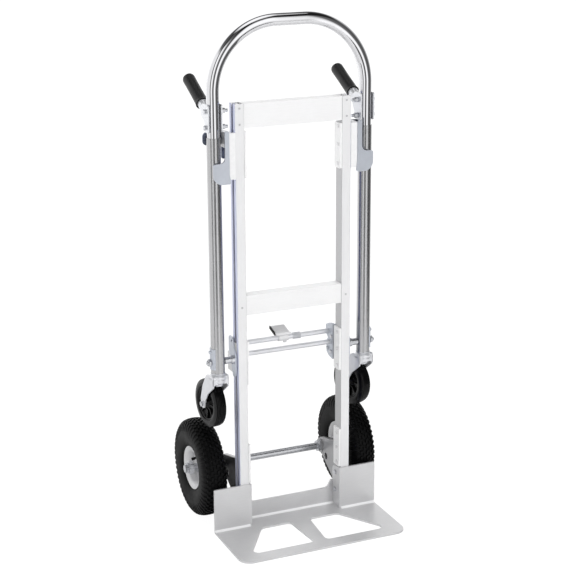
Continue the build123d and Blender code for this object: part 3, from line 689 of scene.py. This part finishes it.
def make_caster_yoke(side_name, turned, hub):
    """A pressed fork: two legs, the arch and plate that join them, and the swivel race on top."""
    y = hub.y / MM
    z = hub.z / MM
    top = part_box("caster_fork_" + side_name)[1][2] / MM
    leg = rounded(
        [
            (-15, top - 2), (15, top - 2), (24, top - 8), (y - 1, z + 52), (y + 12, z + 14),
            (y + 9, z - 11), (y - 8, z - 11), (y - 14, z + 12), (y - 28, z + 34), (-8, z + 54),
            (-15, z + 60),
        ],
        [5, 8, 14, 26, 14, 9, 8, 12, 20, 10, 4],
    )
    bm = bmesh.new()
    for way in (-1, 1):
        low, high = sorted((way * 19 * MM, way * 22.6 * MM))
        add_prism(bm, "X", low, high, in_metres(leg))
        add_turned(bm, hub + Vector((way * 22.4 * MM, 0, 0)), (way, 0, 0),
                   in_metres([(0, 9.5), (0.9, 9.5), (1.2, 9)]), 32)
    arch = rounded(
        [(-22.6, top - 3), (22.6, top - 3), (22.6, top - 30), (15, top - 24), (-15, top - 24),
         (-22.6, top - 30)],
        [9, 9, 2, 8, 8, 2],
    )
    add_prism(bm, "Y", -15 * MM, -11.6 * MM, in_metres(arch))
    plate = rounded([(-22.6, -15), (22.6, -15), (22.6, 17), (-22.6, 17)], [7, 7, 10, 10])
    add_prism(bm, "Z", (top - 12) * MM, (top - 8) * MM, in_metres(plate))
    race = [
        (-25, 10), (-25, 15.5), (-22, 18), (-19, 19.4), (-17.5, 19.9), (-15, 20.2), (-12.5, 19.6),
        (-11.5, 18.9), (-9.5, 20.4), (-6, 21.0), (-3.5, 20.2), (-1.6, 18.0), (-0.3, 16.6), (0, 15),
        (0, 10),
    ]
    add_lathe(bm, (0, 0, top * MM), (0, 0, 1), in_metres(race), 64)
    bm.transform(turned)
    make_piece(bm, "caster_yoke_" + side_name, MATERIALS["bright_zinc"],
               "caster_fork_" + side_name, ["caster_fork_" + side_name], bevel=0.9 * MM, sharp=35)


def make_caster_bolt(side_name, turned, hub):
    """A caster's axle bolt, with its head and nut."""
    shank = Vector((24 * MM, 0, 0))
    seat = Vector((23.4 * MM, 0, 0))
    bm = bmesh.new()
    add_tube(bm, [hub - shank, hub + shank], 4.8 * MM, 20)
    add_hex(bm, hub + seat, (1, 0, 0), 4.8 * MM, 13 * MM, 0.4)
    add_hex(bm, hub - seat, (-1, 0, 0), 5 * MM, 13 * MM, 0.1)
    bm.transform(turned)
    make_piece(bm, "caster_bolt_" + side_name, MATERIALS["zinc_steel"],
               "caster_fork_" + side_name, ["caster_axle_" + side_name], sharp=30)


# ---------------------------------------------------------------- grips, springs and small parts
GRIP_SLOPE = math.radians(26.4)
LOOP_BEND = 165 * MM


def make_grip(side_name):
    """A smooth sleeve with a soft lip at its foot and a rounded closed end."""
    node = "rubber_grip_" + side_name
    along = Vector((0, math.cos(GRIP_SLOPE), math.sin(GRIP_SLOPE)))
    reach = 112.0
    profile = [(0, 13.2), (0, 16.2), (0.7, 16.9), (2.6, 16.9), (4.0, 16.2)]
    for i in range(12):
        share = i / 11
        profile.append((6 + 94 * share, 15.8 - 0.4 * math.sin(math.pi * share)))
    profile += [(reach - 7, 15.7), (reach - 3.4, 14.6), (reach - 1.2, 12.4), (reach, 8.6)]
    profile += [(reach, 0.6), (reach - 5, 0.6), (reach - 5, 13.1), (4, 13.1)]
    bm = bmesh.new()
    foot = centre(node) - along * (reach / 2 * MM)
    add_lathe(bm, foot, along, in_metres(profile), 56)
    make_piece(bm, "hand_grip_" + side_name, MATERIALS["grip_rubber"], "handle_frame",
               [node], sharp=40)


def make_loop():
    """The chrome loop as one smooth bent tube: a leg and a bend, and their mirror image."""
    low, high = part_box("loop_handle")
    radius = (high[1] - low[1]) / 2
    x = high[0] - radius
    y = (low[1] + high[1]) / 2
    top = high[2] - radius
    leg = top - LOOP_BEND - low[2]
    leg_steps = 8
    bend_steps = 40
    half = [(-x, y, low[2] + leg * k / leg_steps) for k in range(leg_steps)]
    for k in range(bend_steps + 1):
        angle = math.pi / 2 * k / bend_steps
        reach = LOOP_BEND * (1 - math.cos(angle))
        drop = LOOP_BEND * (1 - math.sin(angle))
        half.append((reach - x, y, top - drop))
    path = half + [(-px, py, pz) for px, py, pz in reversed(half)]
    bm = bmesh.new()
    add_tube(bm, path, radius, 56)
    make_piece(bm, "bent_loop", MATERIALS["chrome_tube"], "handle_frame",
               ["loop_handle"], sharp=50)


def make_release_spring():
    """The coil of the return spring, round the release rod."""
    low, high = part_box("release_spring")
    middle = centre("release_spring")
    turns = 9
    steps = 14
    wire = 1.0 * MM
    coil = 8.1 * MM
    start = low[0] + 1.2 * MM
    length = high[0] - low[0] - 2.4 * MM
    path = []
    for i in range(turns * steps + 1):
        angle = 2 * math.pi * i / steps
        x = start + length * i / (turns * steps)
        path.append((x, middle.y + coil * math.cos(angle), middle.z + coil * math.sin(angle)))
    bm = bmesh.new()
    add_tube(bm, path, wire, 8)
    make_piece(bm, "torsion_spring", MATERIALS["bright_zinc"], "slide_carriage",
               ["release_spring"], sharp=60)


def make_pedal_dressing():
    """Fine grip ribs along the pedal, and a black strip down its left side as painted shade."""
    low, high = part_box("pedal")
    front = 76.0 * MM - PLACE_SHIFT
    back = high[1] - 3 * MM
    slope = math.tan(math.radians(14.7))
    foot_z = 494.3 * MM

    def strip(bm, x0, x1, under, over):
        corners = [(front, under), (back, under + (back - front) * slope)]
        corners += [(back, over + (back - front) * slope), (front, over)]
        add_prism(bm, "X", x0, x1, [(y, foot_z + z) for y, z in corners])

    bm = bmesh.new()
    count = 9
    for i in range(count):
        x = low[0] + 4 * MM + (high[0] - low[0] - 8 * MM) * i / (count - 1)
        strip(bm, x - 0.8 * MM, x + 0.8 * MM, -1.5 * MM, 0.7 * MM)
    make_piece(bm, "pedal_ribs", MATERIALS["pale_zinc"], "foot_release",
               bevel=0.3 * MM)
    bm = bmesh.new()
    # Painted shade: a black strip over the pedal's left side face, which lies in shadow.
    strip(bm, low[0] - 2.4 * MM, low[0] + 0.4 * MM, -6.5 * MM, 1.6 * MM)
    make_piece(bm, "pedal_shade_strip", MATERIALS["tyre_rubber"], "foot_release",
               bevel=0.8 * MM)


def add_cove(bm, x0, x1, y, z, radius):
    """A hollow quarter-round strip in the fold between a floor and the plate that rises from it."""
    outline = [(y + 0.2 * MM, z - 0.2 * MM), (y - radius, z - 0.2 * MM), (y - radius, z)]
    for k in range(1, 7):
        angle = math.pi / 2 * k / 6
        outline.append((y - radius + radius * math.sin(angle), z + radius * (1 - math.cos(angle))))
    outline.append((y + 0.2 * MM, z + radius))
    add_prism(bm, "X", x0, x1, outline)


def make_nose_folds():
    """Coves in the bends where the nose plate's wings and rear flange rise from its floor, coloured
    brighter as a painted highlight on the bend lines.
    """
    low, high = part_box("nose_plate")
    floor = 5 * MM
    wing_front = -PLACE_SHIFT
    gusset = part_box("rail_right")[0][0]
    bm = bmesh.new()
    for sign in (-1, 1):
        ends = sorted((sign * gusset, sign * high[0]))
        add_cove(bm, ends[0], ends[1], wing_front, floor, 5 * MM)
    add_cove(bm, -gusset + 5 * MM, gusset - 5 * MM, high[1] - 5 * MM, floor, 5 * MM)
    make_piece(bm, "nose_plate_folds", MATERIALS["fold_painted_highlight"], "main_frame",
               sharp=30)


for side_name, sign in SIDES:
    make_tyre(side_name)
    make_rim(side_name, sign)
    make_rim_bolts(side_name, sign)
    make_valve_stem(side_name, sign)
    make_bearings(side_name)
    make_caster(side_name)
    make_grip(side_name)
make_loop()
make_release_spring()
make_pedal_dressing()
make_nose_folds()

# How far the edges of the plain CAD nodes are rounded, in metres.
ROUNDED_NODES = {
    0.0006: ["nose_plate", "crossbar_top", "crossbar_middle", "rail_pads_left", "rail_pads_right"],
    0.0008: ["hook_blocks", "hook_plates", "keeper_plates", "outer_slide_plates", "inner_slide_plates",
             "pedal", "slide_blocks", "grip_bracket_left", "grip_bracket_right"],
    0.0004: ["grip_bolts", "pivot_bolts", "slide_bolts", "hook_bolts", "axle_nuts", "pad_bolts",
             "nose_bolts", "frame_screws", "axle_bracket_left", "axle_bracket_right", "latch_dogs",
             "pivot_bushes", "axle_spacers"],
}
for width, names in ROUNDED_NODES.items():
    for name in names:
        soften(NODES[name], width)


# ---------------------------------------------------------------- camera, light and floor
STUDIO_STRENGTH = 1.3
BACKDROP_STRENGTH = 1.1
# The lit ceiling starts here, as the sine of its height.
CEILING_FROM = 0.9
FLOOR_GLOW = 1.12
FLOOR_GLOW_SHARE = 0.86
CAMERA_PLACE = Vector((-1.47106, -3.38439, 1.73259))
CAMERA_YAW = math.radians(23.46)
CAMERA_PITCH = math.radians(16.74)
CAMERA_ROLL = math.radians(-0.32)
CAMERA_LENS = 94.79


def make_camera():
    forward = Vector((
        math.sin(CAMERA_YAW) * math.cos(CAMERA_PITCH),
        math.cos(CAMERA_YAW) * math.cos(CAMERA_PITCH),
        -math.sin(CAMERA_PITCH),
    ))
    level = Vector((math.cos(CAMERA_YAW), -math.sin(CAMERA_YAW), 0))
    above = level.cross(forward)
    across = math.cos(CAMERA_ROLL) * level + math.sin(CAMERA_ROLL) * above
    up = -math.sin(CAMERA_ROLL) * level + math.cos(CAMERA_ROLL) * above
    turn = Matrix((across, up, -forward)).transposed()
    lens = bpy.data.cameras.new("camera")
    lens.lens = CAMERA_LENS
    lens.sensor_width = 36
    lens.clip_end = 60
    camera = bpy.data.objects.new("camera", lens)
    camera.matrix_world = Matrix.Translation(CAMERA_PLACE) @ turn.to_4x4()
    bpy.context.scene.collection.objects.link(camera)
    bpy.context.scene.camera = camera


def make_light(name, place, target, size, watts):
    lamp = bpy.data.lights.new(name, "AREA")
    lamp.shape = "RECTANGLE"
    lamp.size = size[0]
    lamp.size_y = size[1]
    lamp.energy = watts
    made = bpy.data.objects.new(name, lamp)
    away = Vector(target) - Vector(place)
    made.rotation_euler = away.to_track_quat("-Z", "Y").to_euler()
    made.location = place
    made.visible_glossy = False
    bpy.context.scene.collection.objects.link(made)


# Levels round the studio for the bright metal to show: degrees round from the truck's right (+X)
# towards its back (+Y), and brightness.
STUDIO_BANDS = (
    (-180, 0.80), (-165, 0.80), (-156, 0.10), (-147, 0.10), (-140, 1.00), (-129, 1.00), (-116, 0.35),
    (-107, 0.05), (-96, 0.08), (-86, 0.95), (-68, 1.00), (-57, 0.14), (-30, 0.07), (-4, 0.12),
    (22, 0.60), (60, 0.90), (100, 1.00), (125, 0.95), (150, 0.75), (180, 0.80),
)
# Levels up the studio, as the sine of the height: a dark valance under a bright overhead softbox.
STUDIO_RISE = ((0.0, 1.0), (0.55, 1.0), (0.66, 0.15), (0.88, 0.06), (0.95, 0.9), (1.0, 1.0))


def level_ramp(tree, value, stops, start, end):
    spread = add_node(tree, "ShaderNodeMapRange")
    spread.inputs["From Min"].default_value = start
    spread.inputs["From Max"].default_value = end
    tree.links.new(value, spread.inputs["Value"])
    scaled = [((place - start) / (end - start), (level,) * 3) for place, level in stops]
    return ramp(tree, spread.outputs["Result"], scaled)


def make_world():
    """A studio of softboxes and dark gaps: bands round it, a valance above them, a lit ceiling."""
    world = bpy.data.worlds.new("studio")
    bpy.context.scene.world = world
    world.use_nodes = True
    tree = world.node_tree
    tree.nodes.clear()
    coords = add_node(tree, "ShaderNodeTexCoord")
    split = add_node(tree, "ShaderNodeSeparateXYZ")
    tree.links.new(coords.outputs["Generated"], split.inputs[0])
    turn = add_node(tree, "ShaderNodeMath", operation="ARCTAN2")
    tree.links.new(split.outputs["Y"], turn.inputs[0])
    tree.links.new(split.outputs["X"], turn.inputs[1])
    degrees = add_node(tree, "ShaderNodeMath", operation="DEGREES")
    tree.links.new(turn.outputs[0], degrees.inputs[0])
    bands = level_ramp(tree, degrees.outputs[0], STUDIO_BANDS, -180, 180)
    rise = level_ramp(tree, split.outputs["Z"], STUDIO_RISE, 0, 1)
    overhead = add_node(tree, "ShaderNodeMath", operation="GREATER_THAN")
    overhead.inputs[1].default_value = CEILING_FROM
    tree.links.new(split.outputs["Z"], overhead.inputs[0])
    level = blend_colours(tree, overhead.outputs[0], bands, (1.0, 1.0, 1.0))
    sky = add_node(tree, "ShaderNodeMix", data_type="RGBA", blend_type="MULTIPLY")
    sky.inputs[0].default_value = 1.0
    tree.links.new(level, sky.inputs[6])
    tree.links.new(rise, sky.inputs[7])
    lit = add_node(tree, "ShaderNodeBackground")
    lit.inputs["Strength"].default_value = STUDIO_STRENGTH
    tree.links.new(sky.outputs[2], lit.inputs["Color"])
    shown = add_node(tree, "ShaderNodeBackground")
    shown.inputs["Color"].default_value = (1, 1, 1, 1)
    shown.inputs["Strength"].default_value = BACKDROP_STRENGTH
    path = add_node(tree, "ShaderNodeLightPath")
    either = add_node(tree, "ShaderNodeMixShader")
    out = add_node(tree, "ShaderNodeOutputWorld")
    tree.links.new(path.outputs["Is Camera Ray"], either.inputs[0])
    tree.links.new(lit.outputs[0], either.inputs[1])
    tree.links.new(shown.outputs[0], either.inputs[2])
    tree.links.new(either.outputs[0], out.inputs[0])


def make_floor():
    """A white sweep: it glows to the camera as an overlit backdrop does, with a faint contact shadow."""
    mesh = bpy.data.meshes.new("floor")
    reach = 1.5
    mesh.from_pydata(
        [(-reach, -reach, 0), (reach, -reach, 0), (reach, reach, 0), (-reach, reach, 0)],
        [], [(0, 1, 2, 3)],
    )
    floor = bpy.data.objects.new("floor", mesh)
    bpy.context.scene.collection.objects.link(floor)
    made, tree, shader = new_material("floor")
    shader.inputs["Base Color"].default_value = (0.9, 0.9, 0.9, 1)
    shader.inputs["Roughness"].default_value = 0.8
    shader.inputs["Specular IOR Level"].default_value = 0.1
    glow = add_node(tree, "ShaderNodeEmission")
    glow.inputs["Strength"].default_value = FLOOR_GLOW
    path = add_node(tree, "ShaderNodeLightPath")
    share = add_node(tree, "ShaderNodeMath", operation="MULTIPLY")
    share.inputs[1].default_value = FLOOR_GLOW_SHARE
    tree.links.new(path.outputs["Is Camera Ray"], share.inputs[0])
    mixed = add_node(tree, "ShaderNodeMixShader")
    tree.links.new(share.outputs[0], mixed.inputs[0])
    tree.links.new(shader.outputs[0], mixed.inputs[1])
    tree.links.new(glow.outputs[0], mixed.inputs[2])
    tree.links.new(mixed.outputs[0], tree.nodes["Material Output"].inputs["Surface"])
    mesh.materials.append(made)


make_camera()
make_world()
make_floor()
make_light("key", (0.9, -3.6, 2.6), (0, 0, 0.6), (2.2, 2.2), 96)
make_light("fill", (-3.2, -1.4, 2.2), (0, 0, 0.6), (2.0, 2.6), 24)
make_light("back", (0.5, 3.2, 3.0), (0, 0, 0.5), (3.0, 2.0), 50)
bpy.context.scene.view_settings.view_transform = "Standard"
